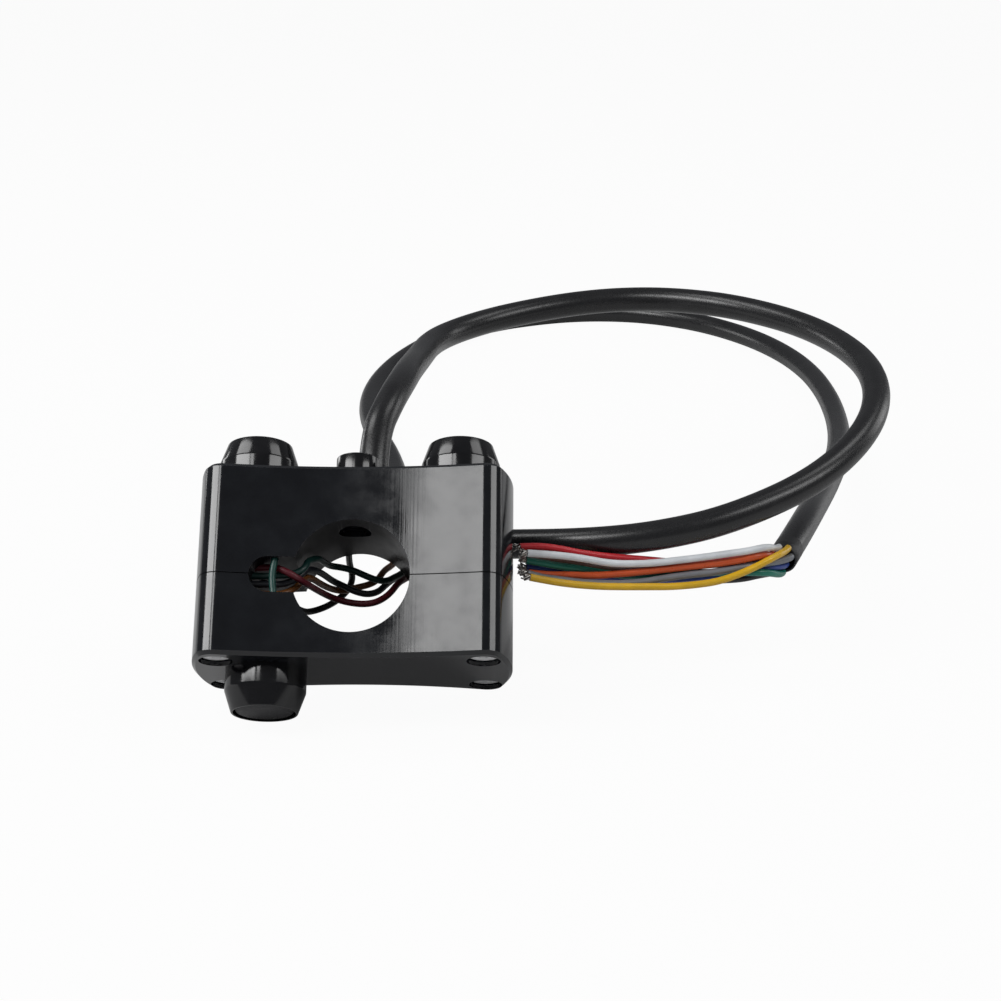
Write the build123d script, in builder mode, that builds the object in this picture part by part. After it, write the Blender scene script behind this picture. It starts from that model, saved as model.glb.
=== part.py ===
"""Handlebar switch cluster: a two-piece aluminium clamp block for a 22.2 mm handlebar,
with three large push buttons, one small centre button, the connecting wires across the
bore and a long round cable that ends in stripped wires.

Local frame, in which the block is drawn: origin on the handlebar axis, half way along the
bore; X runs across the block, Y up its face towards the pair of buttons, Z out of its front.
Row frame, in which the pieces are written: the same origin, +Z up, and the block leaning
back as it stands on the rim of its lower button and on its stiff cable. Millimetres.
"""
import os
from math import cos, pi, radians, sin, tan

from build123d import *

os.makedirs("parts", exist_ok=True)

# block, from the photograph scaled by the handlebar bore
bar_diameter = 22.2
block_width = 60.4
corner_depth_front = 12.4
corner_depth_back = 14.2
front_waist = 2.4
back_waist = 4.2
side_bulge = 3.0
corner_radius = 3.5
upper_height = 22.0
lower_height = 15.8
split_gap = 0.2
edge_bevel = 0.7
slot_width = 7.0
slot_reach = 19.0
cut_overrun = 1.0
lean_angle = 51.4

# clamp screws, M3 socket heads
screw_diameter = 3.0
screw_head_diameter = 5.5
screw_head_height = 3.0
screw_length = 20.0
screw_counterbore_diameter = 6.4
screw_recess = 1.0
screw_clearance = 0.2
screw_thread_clearance = 0.05
screw_tip_clearance = 1.0
screw_key_width = 2.5
screw_key_depth = 1.5
screw_side_inset = 2.3
screw_front_reach = 6.7
screw_back_reach = 9.3

# large buttons: a fixed bezel that screws into the block and a plunger in it
large_button_span_left = 19.6
large_button_span_right = 19.9
lower_button_offset = 16.4
button_axis_setback = 0.8
bezel_ring_radius = 7.7
bezel_ring_height = 3.9
bezel_height = 8.0
bezel_tip_radius = 6.3
bezel_lip = 0.4
bezel_skirt_radius = 5.5
bezel_skirt_wall = 1.0
bezel_skirt_depth = 6.0
bezel_floor_height = 3.2
bezel_floor_thickness = 1.2
bezel_break = 0.25
thread_clearance = 0.2
well_depth = 7.0
terminal_recess_radius = 4.5
terminal_recess_depth = 2.0
button_clearance = 0.3
button_travel = 1.0
cap_thickness = 1.5
cap_rim_setback = 0.3
cap_edge_drop = 0.3
cap_edge_width = 0.6
stem_radius = 2.0
stem_end_depth = 0.2
spring_height = 0.7
spring_wire_allowance = 1.0
seal_width = 0.9
seal_height = 0.8
contact_gap = 0.25
contact_radius = 2.4
contact_thickness = 0.35
switch_flange_clearance = 0.1
terminal_radius = 0.5
terminal_length = 1.6
terminal_half_pitch = 1.5

# small centre button
small_cap_radius = 4.05
small_cap_height = 3.9
small_cap_sunk = 2.6
small_button_front_reach = 3.2
small_well_depth = 4.6
small_plate_thickness = 0.4
small_plate_bore_radius = 2.5
small_stem_radius = 1.9
small_stem_recess = 1.2
star_washer_radius = 2.7
star_washer_thickness = 0.35
star_washer_gap = 0.15
star_teeth = 8
star_notch_share = 0.42
star_notch_width = 0.5
washer_pocket_radius = 3.1
washer_pocket_height = 2.2
grip_clearance = 0.05

# cable, its grommet and the wires
cable_radius = 3.0
cable_exit_side = 2.3
cable_exit_setback = 5.6
grommet_radius = 3.65
grommet_height = 2.5
grommet_plug_radius = 3.1
grommet_depth = 6.0
cable_lead_in = 10.1
grommet_clearance = 0.1
jumper_radius = 0.65
port_clearance = 0.1
port_floor = 8.6
wire_way_radius = 1.5
wire_way_side = 2.6
right_way_rise = 1.6
ceiling_port_depth = 1.5
side_port_depth = 1.0
lead_radius = 0.72
tip_radius = 0.48
tip_length = 2.5
lead_in = 5.0
fillet_share = 0.45

# derived places
bore_radius = bar_diameter / 2
half_block = block_width / 2 - side_bulge
front_middle = corner_depth_front - front_waist
back_middle = corner_depth_back - back_waist
half_gap = split_gap / 2
cut_depth = corner_depth_back + cut_overrun
slot_radius = slot_width / 2
slot_centre = slot_reach - slot_radius
button_z = -button_axis_setback
well_radius = bezel_skirt_radius + thread_clearance
screw_half_span = half_block - screw_side_inset
screw_places = {
    "front_left": (-screw_half_span, screw_front_reach),
    "front_right": (screw_half_span, screw_front_reach),
    "back_left": (-screw_half_span, -screw_back_reach),
    "back_right": (screw_half_span, -screw_back_reach),
}
counterbore_depth = screw_head_height + screw_recess
screw_top = screw_length + counterbore_depth - lower_height
floor_top = bezel_floor_height + bezel_floor_thickness
stem_hole_radius = stem_radius + button_clearance
cap_radius = bezel_tip_radius - bezel_lip - button_clearance
cap_top = bezel_height - cap_rim_setback
cap_underside = cap_top - cap_thickness
spring_inner = stem_radius + button_clearance
spring_outer = spring_inner + spring_wire_allowance
switch_radius = bezel_skirt_radius - bezel_skirt_wall - button_clearance
contact_top = -stem_end_depth - button_travel - contact_gap
switch_top = contact_top - contact_thickness
switch_bottom = -well_depth
switch_flange_radius = bezel_skirt_radius - switch_flange_clearance
full_well_depth = well_depth + terminal_recess_depth
right_way_height = upper_height - full_well_depth + right_way_rise
right_way_side = large_button_span_right - wire_way_side
small_well_radius = small_cap_radius + button_clearance
small_stem_hole = small_stem_radius + button_clearance
roof_height = upper_height - bore_radius
washer_ceiling = roof_height - washer_pocket_height
small_stem_end = roof_height - small_stem_recess
washer_top = washer_ceiling + star_washer_gap
grommet_hole_radius = grommet_plug_radius + grommet_clearance
port_radius = jumper_radius + port_clearance

# where the whole thing stands: the rim of the lower bezel is its lowest point
lean = Location((0, 0, 0), (lean_angle, 0, 0))
rim_drop = lower_height + bezel_height
rim_back = button_axis_setback + bezel_tip_radius
table_z = -rim_drop * sin(radians(lean_angle)) - rim_back * cos(radians(lean_angle))

# seats of the buttons, each with its Z along the outward push axis
upper_face = Plane(origin=(0, upper_height, 0), x_dir=(1, 0, 0), z_dir=(0, 1, 0))
lower_face = Plane(origin=(0, -lower_height, 0), x_dir=(1, 0, 0), z_dir=(0, -1, 0))
button_seats = {
    "left": upper_face.location * Location((-large_button_span_left, -button_z, 0)),
    "right": upper_face.location * Location((large_button_span_right, -button_z, 0)),
    "lower": lower_face.location * Location((-lower_button_offset, button_z, 0)),
}
small_seat = upper_face.location * Location((0, -small_button_front_reach, 0))
grommet_seat = upper_face.location * Location((cable_exit_side, cable_exit_setback, 0))

# routes as read off the photograph: X, Y and the height over the table
sheath_route = [
    (5.1, 35.8, 51.3),
    (6.8, 48.0, 52.2),
    (7.2, 62.0, 50.8),
    (7.8, 84.0, 47.6),
    (9.6, 108.3, 45.8),
    (16.4, 120.9, 46.1),
    (27.2, 130.8, 47.0),
    (43.3, 138.0, 48.4),
    (57.2, 139.3, 49.3),
    (70.6, 136.1, 49.7),
    (85.0, 127.2, 49.7),
    (99.9, 109.6, 48.9),
    (108.6, 87.4, 47.0),
    (109.6, 68.0, 44.0),
    (104.2, 50.2, 39.7),
    (91.7, 33.6, 34.5),
    (73.4, 21.7, 30.3),
    (58.7, 17.9, 28.1),
    (44.7, 18.9, 26.3),
    (27.8, 26.0, 23.6),
    (13.2, 36.2, 20.1),
    (4.9, 46.4, 17.2),
    (0.2, 60.5, 13.8),
    (-1.6, 81.4, 9.2),
    (-0.7, 105.1, 5.9),
    (-0.5, 129.1, 4.1),
    (-3.9, 152.9, 3.4),
    (-9.4, 176.1, 3.2),
    (-13.5, 199.8, 3.3),
    (-14.0, 223.7, 3.2),
    (-11.0, 247.5, 3.2),
    (-4.7, 270.6, 3.3),
    (4.9, 292.7, 3.2),
    (19.4, 311.7, 3.3),
    (37.2, 323.0, 3.2),
    (50.9, 326.8, 3.2),
    (64.8, 326.0, 3.2),
    (77.7, 320.6, 3.2),
    (91.2, 308.9, 3.3),
    (104.4, 289.0, 3.3),
    (113.1, 266.7, 3.2),
    (117.8, 243.2, 3.2),
    (119.3, 219.2, 3.2),
    (118.7, 195.2, 3.7),
    (116.5, 171.4, 5.1),
    (113.0, 147.6, 7.2),
    (108.5, 124.2, 9.7),
    (103.5, 100.9, 12.7),
    (98.3, 77.9, 16.1),
    (93.4, 56.7, 19.2),
    (89.3, 41.8, 20.1),
    (84.8, 28.7, 19.5),
]
lead_routes = {
    "white": [
        (85.55, 28.35, 21.49), (79.88, 20.05, 21.02), (74.66, 19.08, 20.68), (67.81, 17.89, 22.50),
        (55.72, 14.62, 23.27), (47.90, 12.26, 25.05), (39.97, 10.42, 26.64), (33.45, 9.12, 28.08),
    ],
    "orange": [
        (86.67, 28.02, 20.32), (80.33, 19.36, 19.70), (74.59, 18.65, 19.17), (67.61, 17.85, 20.81),
        (55.52, 14.56, 21.59), (47.56, 12.17, 23.39), (39.63, 10.35, 24.97), (33.55, 9.14, 26.32),
    ],
    "grey": [
        (86.69, 28.09, 18.68), (80.46, 19.42, 18.04), (74.44, 18.62, 17.50), (67.41, 17.80, 19.13),
        (55.32, 14.50, 19.90), (47.23, 12.08, 21.72), (39.30, 10.28, 23.31), (33.35, 9.11, 24.62),
    ],
    "yellow": [
        (85.60, 28.52, 17.51), (80.23, 20.22, 16.72), (74.23, 19.00, 15.99), (67.20, 17.75, 17.44),
        (55.12, 14.45, 18.21), (46.90, 11.99, 20.06), (38.97, 10.21, 21.64), (33.55, 9.14, 22.84),
    ],
    "red": [
        (84.00, 28.88, 21.49), (79.16, 21.56, 21.26), (74.41, 20.77, 21.20), (67.51, 19.62, 23.30),
        (55.34, 16.33, 24.07), (47.61, 13.99, 25.84), (39.76, 12.17, 27.42), (33.65, 10.95, 28.78),
    ],
    "brown": [
        (82.91, 29.31, 20.32), (78.92, 22.37, 19.95), (74.20, 21.18, 19.72), (67.30, 19.62, 21.66),
        (55.13, 16.32, 22.43), (47.27, 13.95, 24.22), (39.42, 12.15, 25.81), (33.45, 10.96, 27.13),
    ],
    "green": [
        (84.80, 28.70, 19.50), (79.59, 21.15, 18.87), (74.19, 20.47, 18.34), (67.09, 19.57, 19.97),
        (54.93, 16.26, 20.74), (46.94, 13.86, 22.56), (39.09, 12.08, 24.14), (33.45, 10.96, 25.39),
    ],
    "blue": [
        (82.93, 29.38, 18.68), (79.10, 22.45, 17.79), (73.94, 21.14, 16.95), (66.89, 19.53, 18.28),
        (54.73, 16.21, 19.06), (46.60, 13.78, 20.89), (38.75, 12.00, 22.48), (33.35, 10.94, 23.67),
    ],
    "black": [
        (84.05, 29.05, 17.51), (79.55, 21.76, 16.48), (73.88, 20.71, 15.47), (66.69, 19.48, 16.65),
        (54.53, 16.15, 17.42), (46.28, 13.69, 19.28), (38.43, 11.93, 20.86), (33.45, 10.96, 21.96),
    ],
}
# the jumper wires, in the local frame: out of the slot's side wall, behind the bore and into the
# back face on its other side, so the handlebar's place stays free
jumper_routes = {
    "red": [
        (-20.00, 2.60, 6.40), (-16.15, 2.60, 6.40), (-13.30, 2.60, 3.65), (-13.18, 2.55, -1.66),
        (-13.30, 2.50, -6.97), (-13.30, 2.60, -12.28), (-10.68, 2.64, -14.90), (-6.70, 2.70, -15.02),
        (-3.00, 1.70, -14.90), (0.70, 1.20, -15.02), (4.20, 2.00, -14.90), (7.30, 4.40, -15.02),
        (11.11, 8.90, -14.90), (12.80, 10.90, -12.28), (12.80, 10.90, -8.60),
    ],
    "green": [
        (-20.00, 1.00, 6.40), (-16.15, 1.00, 6.40), (-13.30, 1.00, 3.65), (-13.18, 0.95, -2.16),
        (-13.30, 0.90, -7.97), (-13.30, 1.00, -13.78), (-11.41, 2.81, -16.40), (-8.60, 5.50, -16.52),
        (-5.40, 8.00, -16.40), (-1.80, 8.40, -16.52), (1.80, 7.70, -16.40), (5.20, 7.40, -16.52),
        (8.40, 8.90, -16.40), (10.78, 10.78, -16.20), (12.68, 12.28, -14.45), (13.60, 13.00, -11.49),
        (13.60, 13.00, -8.60),
    ],
    "blue": [
        (-20.00, -0.70, 6.40), (-16.15, -0.70, 6.40), (-13.30, -0.70, 3.65), (-13.18, -0.65, -2.66),
        (-13.30, -0.60, -8.97), (-13.30, -0.70, -15.28), (-11.25, 0.93, -17.90), (-8.40, 3.20, -18.02),
        (-5.20, 5.40, -17.90), (-1.60, 5.50, -18.02), (1.90, 5.20, -17.90), (4.80, 7.00, -18.02),
        (8.17, 10.37, -17.67), (10.21, 12.41, -15.57), (11.20, 13.40, -12.04), (11.20, 13.40, -8.60),
    ],
    "orange": [
        (-20.00, -2.30, 6.40), (-16.15, -2.30, 6.40), (-13.30, -2.30, 3.65), (-13.18, -2.25, -3.16),
        (-13.30, -2.20, -9.97), (-13.30, -2.30, -16.78), (-11.33, -0.58, -19.40), (-8.60, 1.80, -19.52),
        (-5.40, 4.20, -19.40), (-1.90, 5.00, -19.52), (1.30, 6.80, -19.40), (3.80, 9.40, -19.52),
        (5.74, 11.76, -19.13), (7.87, 14.35, -16.70), (8.90, 15.60, -12.60), (8.90, 15.60, -8.60),
    ],
    "black": [
        (-2.80, 16.80, -8.60), (-2.80, 16.80, -13.19), (-2.88, 14.94, -17.90), (-3.05, 11.10, -20.69),
        (-3.20, 7.60, -21.12), (-5.20, 4.60, -21.00), (-8.50, 3.50, -21.12), (-11.99, 4.15, -20.69),
        (-15.77, 4.86, -17.90), (-17.60, 5.20, -13.19), (-17.60, 5.20, -8.60),
    ],
}
slot_route = [
    (-14.4, 5.0, 9.0), (-14.4, 3.4, 9.0), (-14.8, 1.2, 9.0),
    (-14.8, -1.2, 8.9), (-14.4, -3.4, 9.0), (-14.4, -5.0, 9.0),
]
# where the wires go into the block
wire_ends = [course[end] for course in (*jumper_routes.values(), slot_route) for end in (0, -1)]
ceiling_ends = [(x, z) for x, y, z in wire_ends if y > slot_radius and z > 0]
floor_ends = [(x, z) for x, y, z in wire_ends if y < -slot_radius]
back_ends = [(x, y) for x, y, z in wire_ends if z < 0]
side_ends = [(y, z) for x, y, z in wire_ends if x < -slot_reach]


def save(piece, label):
    """Lean a finished piece, name it and write it."""
    piece = piece.moved(lean)
    piece.label = label
    export_step(piece, f"parts/{label}.step")
    return piece


def corner_radii(points):
    """The arc at each corner, as large as its two runs allow."""
    spots = [Vector(*point) for point in points]
    radii = []
    for before, here, after in zip(spots, spots[1:], spots[2:]):
        run = min((here - before).length, (after - here).length)
        turn = (here - before).get_angle(after - here)
        radii.append(fillet_share * run / tan(radians(turn) / 2))
    return radii


def tube(points, radius, name):
    """A round wire along straight runs joined by tangent arcs."""
    radii = corner_radii(points)
    with BuildPart() as wire:
        with BuildLine() as path:
            FilletPolyline(*points, radius=radii)
        course = path.wire()
        with BuildSketch(Plane(origin=course @ 0, z_dir=course % 0)):
            Circle(radius)
        sweep(path=course)
    expected = course.length * pi * radius ** 2
    print(f"{name}: length {course.length:.1f}, least arc {min(radii):.1f},"
          f" volume over section times length {wire.part.volume / expected:.4f}")
    return wire.part, course


def block_outline():
    """Plan of the block seen along its face: waisted front and back, rounded ends."""
    with BuildSketch(Plane.XZ) as outline:
        with BuildLine():
            front_left, front_right = (-half_block, corner_depth_front), (half_block, corner_depth_front)
            back_left, back_right = (-half_block, -corner_depth_back), (half_block, -corner_depth_back)
            ThreePointArc(front_left, (0, front_middle), front_right)
            ThreePointArc(front_right, (half_block + side_bulge, 0), back_right)
            ThreePointArc(back_right, (0, -back_middle), back_left)
            ThreePointArc(back_left, (-half_block - side_bulge, 0), front_left)
        make_face()
        fillet(outline.vertices(), corner_radius)
    return outline.sketch


outline = block_outline()

# the handlebar bore and the wire slot beside it, as one solid to take away
with BuildPart() as bore_and_slot:
    with BuildSketch(Plane.XY.offset(-cut_depth)):
        Circle(bore_radius)
        with Locations((-slot_centre / 2, 0)):
            Rectangle(slot_centre, slot_width)
        with Locations((-slot_centre, 0)):
            Circle(slot_radius)
    extrude(amount=2 * cut_depth)

with BuildPart() as upper_clamp_half:
    add(outline)
    extrude(amount=upper_height, dir=(0, 1, 0))
    with BuildSketch(Plane.XZ):
        Rectangle(2 * block_width, 2 * block_width)
    extrude(amount=half_gap, dir=(0, 1, 0), mode=Mode.SUBTRACT)
    chamfer(upper_clamp_half.faces().sort_by(Axis.Y)[-1].edges(), edge_bevel)
    add(bore_and_slot.part, mode=Mode.SUBTRACT)
    # wells of the two large buttons, of the small one and of the grommet
    with BuildSketch(Plane.XZ.offset(-upper_height)):
        with Locations((-large_button_span_left, button_z), (large_button_span_right, button_z)):
            Circle(well_radius)
    extrude(amount=well_depth, mode=Mode.SUBTRACT)
    with BuildSketch(Plane.XZ.offset(-upper_height)):
        with Locations((-large_button_span_left, button_z), (large_button_span_right, button_z)):
            Circle(terminal_recess_radius)
    extrude(amount=full_well_depth, mode=Mode.SUBTRACT)
    with BuildSketch(Plane.XZ.offset(-upper_height)):
        with Locations((0, small_button_front_reach)):
            Circle(small_well_radius)
    extrude(amount=small_well_depth, mode=Mode.SUBTRACT)
    with BuildSketch(Plane.XZ.offset(-upper_height)):
        with Locations((0, small_button_front_reach)):
            Circle(small_stem_hole)
    extrude(amount=roof_height + cut_overrun, mode=Mode.SUBTRACT)
    with BuildSketch(Plane.XZ.offset(-upper_height + washer_ceiling)):
        with Locations((0, small_button_front_reach)):
            Circle(washer_pocket_radius)
    extrude(amount=washer_pocket_height + cut_overrun, mode=Mode.SUBTRACT)
    with BuildSketch(Plane.XZ.offset(-upper_height)):
        with Locations((cable_exit_side, -cable_exit_setback)):
            Circle(grommet_hole_radius)
    extrude(amount=grommet_depth, mode=Mode.SUBTRACT)
    # threaded holes of the clamp screws
    with BuildSketch(Plane.XZ):
        with Locations(*screw_places.values()):
            Circle(screw_diameter / 2 + screw_thread_clearance)
    extrude(amount=screw_top + screw_tip_clearance, dir=(0, 1, 0), mode=Mode.SUBTRACT)
    # ways for the wires: left well to slot, right well to the back, and the small ports
    with BuildSketch(Plane.XZ):
        with Locations((-large_button_span_left + wire_way_side, button_z)):
            Circle(wire_way_radius)
    extrude(amount=upper_height - full_well_depth + cut_overrun, dir=(0, 1, 0), mode=Mode.SUBTRACT)
    with BuildSketch(Plane.XY.offset(-cut_depth)):
        with Locations((right_way_side, right_way_height)):
            Circle(wire_way_radius)
    extrude(amount=cut_depth + button_z, mode=Mode.SUBTRACT)
    with BuildSketch(Plane.XY.offset(-cut_depth)):
        with Locations(*back_ends):
            Circle(port_radius)
    extrude(amount=cut_depth - port_floor, mode=Mode.SUBTRACT)
    with BuildSketch(Plane.XZ):
        with Locations(*ceiling_ends):
            Circle(port_radius)
    extrude(amount=slot_radius + ceiling_port_depth, dir=(0, 1, 0), mode=Mode.SUBTRACT)
    with BuildSketch(Plane.YZ.offset(-slot_centre)):
        with Locations(*side_ends):
            Circle(port_radius)
    extrude(amount=slot_radius + side_port_depth, dir=(-1, 0, 0), mode=Mode.SUBTRACT)

with BuildPart() as lower_clamp_half:
    add(outline)
    extrude(amount=lower_height, dir=(0, -1, 0))
    with BuildSketch(Plane.XZ):
        Rectangle(2 * block_width, 2 * block_width)
    extrude(amount=half_gap, dir=(0, -1, 0), mode=Mode.SUBTRACT)
    chamfer(lower_clamp_half.faces().sort_by(Axis.Y)[0].edges(), edge_bevel)
    add(bore_and_slot.part, mode=Mode.SUBTRACT)
    with BuildSketch(Plane.XZ.offset(lower_height)):
        with Locations((-lower_button_offset, button_z)):
            Circle(well_radius)
    extrude(amount=-well_depth, mode=Mode.SUBTRACT)
    with BuildSketch(Plane.XZ.offset(lower_height)):
        with Locations((-lower_button_offset, button_z)):
            Circle(terminal_recess_radius)
    extrude(amount=-full_well_depth, mode=Mode.SUBTRACT)
    # counterbored holes of the clamp screws
    with BuildSketch(Plane.XZ.offset(lower_height)):
        with Locations(*screw_places.values()):
            Circle(screw_counterbore_diameter / 2)
    extrude(amount=-counterbore_depth, mode=Mode.SUBTRACT)
    with BuildSketch(Plane.XZ.offset(lower_height)):
        with Locations(*screw_places.values()):
            Circle(screw_diameter / 2 + screw_clearance)
    extrude(amount=-lower_height, mode=Mode.SUBTRACT)
    # the way from the lower well up to the slot, and the slot wire's port
    with BuildSketch(Plane.XZ):
        with Locations((-lower_button_offset, button_z)):
            Circle(wire_way_radius)
    extrude(amount=lower_height - full_well_depth + cut_overrun, dir=(0, -1, 0), mode=Mode.SUBTRACT)
    with BuildSketch(Plane.XZ):
        with Locations(*floor_ends):
            Circle(port_radius)
    extrude(amount=slot_radius + ceiling_port_depth, dir=(0, -1, 0), mode=Mode.SUBTRACT)
    with BuildSketch(Plane.YZ.offset(-slot_centre)):
        with Locations(*side_ends):
            Circle(port_radius)
    extrude(amount=slot_radius + side_port_depth, dir=(-1, 0, 0), mode=Mode.SUBTRACT)

save(upper_clamp_half.part, "upper_clamp_half")
save(lower_clamp_half.part, "lower_clamp_half")

# clamp screws, drawn with the tip up and the head at the lower face
with BuildPart() as clamp_screw:
    with BuildSketch(Plane.XY):
        Circle(screw_head_diameter / 2)
    extrude(amount=screw_head_height)
    with BuildSketch(Plane.XY.offset(screw_head_height)):
        Circle(screw_diameter / 2)
    extrude(amount=screw_length)
    with BuildSketch(Plane.XY):
        RegularPolygon(screw_key_width / 2, 6, major_radius=False)
    extrude(amount=screw_key_depth, mode=Mode.SUBTRACT)
screw_face = Plane(origin=(0, screw_recess - lower_height, 0), x_dir=(1, 0, 0), z_dir=(0, 1, 0))
for corner, (side, depth) in screw_places.items():
    seat = screw_face.location * Location((side, -depth, 0))
    save(clamp_screw.part.moved(seat), f"clamp_screw_{corner}")


# one large button, drawn with its push axis along Z and the block's face at zero
with BuildPart() as bezel:
    with BuildSketch(Plane.XZ):
        with BuildLine():
            Polyline(
                (bezel_skirt_radius, -bezel_skirt_depth),
                (bezel_skirt_radius, 0),
                (bezel_ring_radius, 0),
                (bezel_ring_radius, bezel_ring_height),
                (bezel_tip_radius, bezel_height),
                (bezel_tip_radius - bezel_lip, bezel_height),
                (bezel_tip_radius - bezel_lip, floor_top),
                (stem_hole_radius, floor_top),
                (stem_hole_radius, bezel_floor_height),
                (bezel_skirt_radius - bezel_skirt_wall, bezel_floor_height),
                (bezel_skirt_radius - bezel_skirt_wall, -bezel_skirt_depth),
                close=True,
            )
        make_face()
    revolve(axis=Axis.Z)

with BuildPart() as cap:
    with BuildSketch(Plane.XZ):
        with BuildLine():
            Polyline(
                (0, cap_top),
                (0, -stem_end_depth),
                (stem_radius, -stem_end_depth),
                (stem_radius, cap_underside),
                (cap_radius, cap_underside),
                (cap_radius, cap_top - cap_edge_drop),
                (cap_radius - cap_edge_width, cap_top),
                close=True,
            )
        make_face()
    revolve(axis=Axis.Z)

with BuildPart() as spring:
    with BuildSketch(Plane.XY.offset(cap_underside - spring_height)):
        Circle(spring_outer)
        Circle(spring_inner, mode=Mode.SUBTRACT)
    extrude(amount=spring_height)

with BuildPart() as seal:
    with BuildSketch(Plane.XY.offset(bezel_floor_height - seal_height)):
        Circle(stem_hole_radius + seal_width)
        Circle(stem_hole_radius, mode=Mode.SUBTRACT)
    extrude(amount=seal_height)

with BuildPart() as contact:
    with BuildSketch(Plane.XY.offset(switch_top)):
        Circle(contact_radius)
    extrude(amount=contact_thickness)

# its flange is held between the skirt's end and the ledge of the well
with BuildPart() as switch:
    with BuildSketch(Plane.XY.offset(switch_bottom)):
        Circle(switch_radius)
    extrude(amount=switch_top - switch_bottom)
    with BuildSketch(Plane.XY.offset(switch_bottom)):
        Circle(switch_flange_radius)
    extrude(amount=well_depth - bezel_skirt_depth)

with BuildPart() as terminals:
    with BuildSketch(Plane.XY.offset(switch_bottom - terminal_length)):
        with Locations((-terminal_half_pitch, 0), (terminal_half_pitch, 0)):
            Circle(terminal_radius)
    extrude(amount=terminal_length)

for place, seat in button_seats.items():
    save(bezel.part.moved(seat), f"{place}_button_bezel")
    save(cap.part.moved(seat), f"{place}_button_cap")
    save(spring.part.moved(seat), f"{place}_button_spring")
    save(seal.part.moved(seat), f"{place}_button_seal")
    save(contact.part.moved(seat), f"{place}_button_contact")
    save(switch.part.moved(seat), f"{place}_button_switch")
    save(terminals.part.moved(seat), f"{place}_button_terminals")

# the small centre button, held by a star washer in a pocket of the bore's roof
with BuildPart() as small_cap:
    with BuildSketch(Plane.XY.offset(-small_cap_sunk)):
        Circle(small_cap_radius)
    extrude(amount=small_cap_sunk + small_cap_height)
    chamfer(small_cap.faces().sort_by(Axis.Z)[-1].edges(), bezel_break)
    with BuildSketch(Plane.XY.offset(-small_stem_end)):
        Circle(small_stem_radius)
    extrude(amount=small_stem_end - small_cap_sunk)

with BuildPart() as small_spring:
    with BuildSketch(Plane.XY.offset(-small_cap_sunk - spring_height * 2 / 3)):
        Circle(small_plate_bore_radius + spring_wire_allowance)
        Circle(small_plate_bore_radius, mode=Mode.SUBTRACT)
    extrude(amount=spring_height * 2 / 3)

with BuildPart() as contact_plate:
    with BuildSketch(Plane.XY.offset(-small_well_depth)):
        Circle(small_cap_radius)
        Circle(small_plate_bore_radius, mode=Mode.SUBTRACT)
    extrude(amount=small_plate_thickness)

with BuildPart() as star_washer:
    with BuildSketch(Plane.XY.offset(-washer_top - star_washer_thickness)):
        Circle(star_washer_radius)
        Circle(small_stem_radius + grip_clearance, mode=Mode.SUBTRACT)
        with PolarLocations(star_washer_radius, star_teeth):
            Rectangle(star_washer_radius * star_notch_share / 2, star_notch_width, mode=Mode.SUBTRACT)
    extrude(amount=star_washer_thickness)

save(small_cap.part.moved(small_seat), "centre_button_cap")
save(small_spring.part.moved(small_seat), "centre_button_spring")
save(contact_plate.part.moved(small_seat), "centre_button_contact_plate")
save(star_washer.part.moved(small_seat), "centre_button_star_washer")

# cable grommet and the round sheath
with BuildPart() as grommet:
    with BuildSketch(Plane.XY.offset(-grommet_depth)):
        Circle(grommet_plug_radius)
    extrude(amount=grommet_depth)
    with BuildSketch(Plane.XY):
        Circle(grommet_radius)
    extrude(amount=grommet_height)
    chamfer(grommet.faces().sort_by(Axis.Z)[-1].edges(), bezel_break)
save(grommet.part.moved(grommet_seat), "cable_grommet")


def over_table(points):
    """Route points from heights over the table to the row frame."""
    return [(x, y, table_z + height) for x, y, height in points]


def save_placed(piece, label):
    """Name and write a piece that is drawn in the row frame."""
    piece.label = label
    export_step(piece, f"parts/{label}.step")


def to_tuple(vector):
    return (vector.X, vector.Y, vector.Z)


exit_face = lean * grommet_seat * Location((0, 0, grommet_height))
exit_axis = Plane(exit_face).z_dir
sheath_points = [to_tuple(exit_face.position), to_tuple(exit_face.position + exit_axis * cable_lead_in)]
sheath_points += over_table(sheath_route)
sheath, sheath_course = tube(sheath_points, cable_radius, "cable_sheath")
save_placed(sheath, "cable_sheath")

# the cable's own course may not touch itself
marks = [sheath_course @ (step / 600) for step in range(601)]
apart = 60
near = min(
    (marks[i] - marks[j]).length
    for i in range(len(marks))
    for j in range(i + apart, len(marks))
)
print(f"cable_sheath: least gap to itself {near - 2 * cable_radius:.1f}")

for colour, course in jumper_routes.items():
    piece, _ = tube(course, jumper_radius, f"jumper_wire_{colour}")
    save(piece, f"jumper_wire_{colour}")
piece, _ = tube(slot_route, jumper_radius, "slot_wire_green")
save(piece, "slot_wire_green")

# stripped wires, square to the sheath's end face, and their tinned tips
end_centre = sheath_course @ 1
end_axis = sheath_course % 1
tips = []
for colour, course in lead_routes.items():
    points = over_table(course)
    start = Vector(*points[0])
    start = start - end_axis * (start - end_centre).dot(end_axis)
    points[0:1] = [to_tuple(start), to_tuple(start + end_axis * lead_in)]
    piece, line = tube(points, lead_radius, f"lead_{colour}")
    save_placed(piece, f"lead_{colour}")
    with BuildPart() as tip:
        with BuildSketch(Plane(origin=line @ 1, z_dir=line % 1)):
            Circle(tip_radius)
        extrude(amount=tip_length)
    tips.append(tip.part)
save_placed(Compound(children=tips), "tinned_tips")
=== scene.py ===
"""Handlebar switch cluster: turned buttons, cable, wires, finishes and the stage."""
import math
import random

import bmesh
import bpy
from bpy.props import FloatProperty, FloatVectorProperty, IntProperty, PointerProperty
from mathutils import Matrix, Vector


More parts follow.
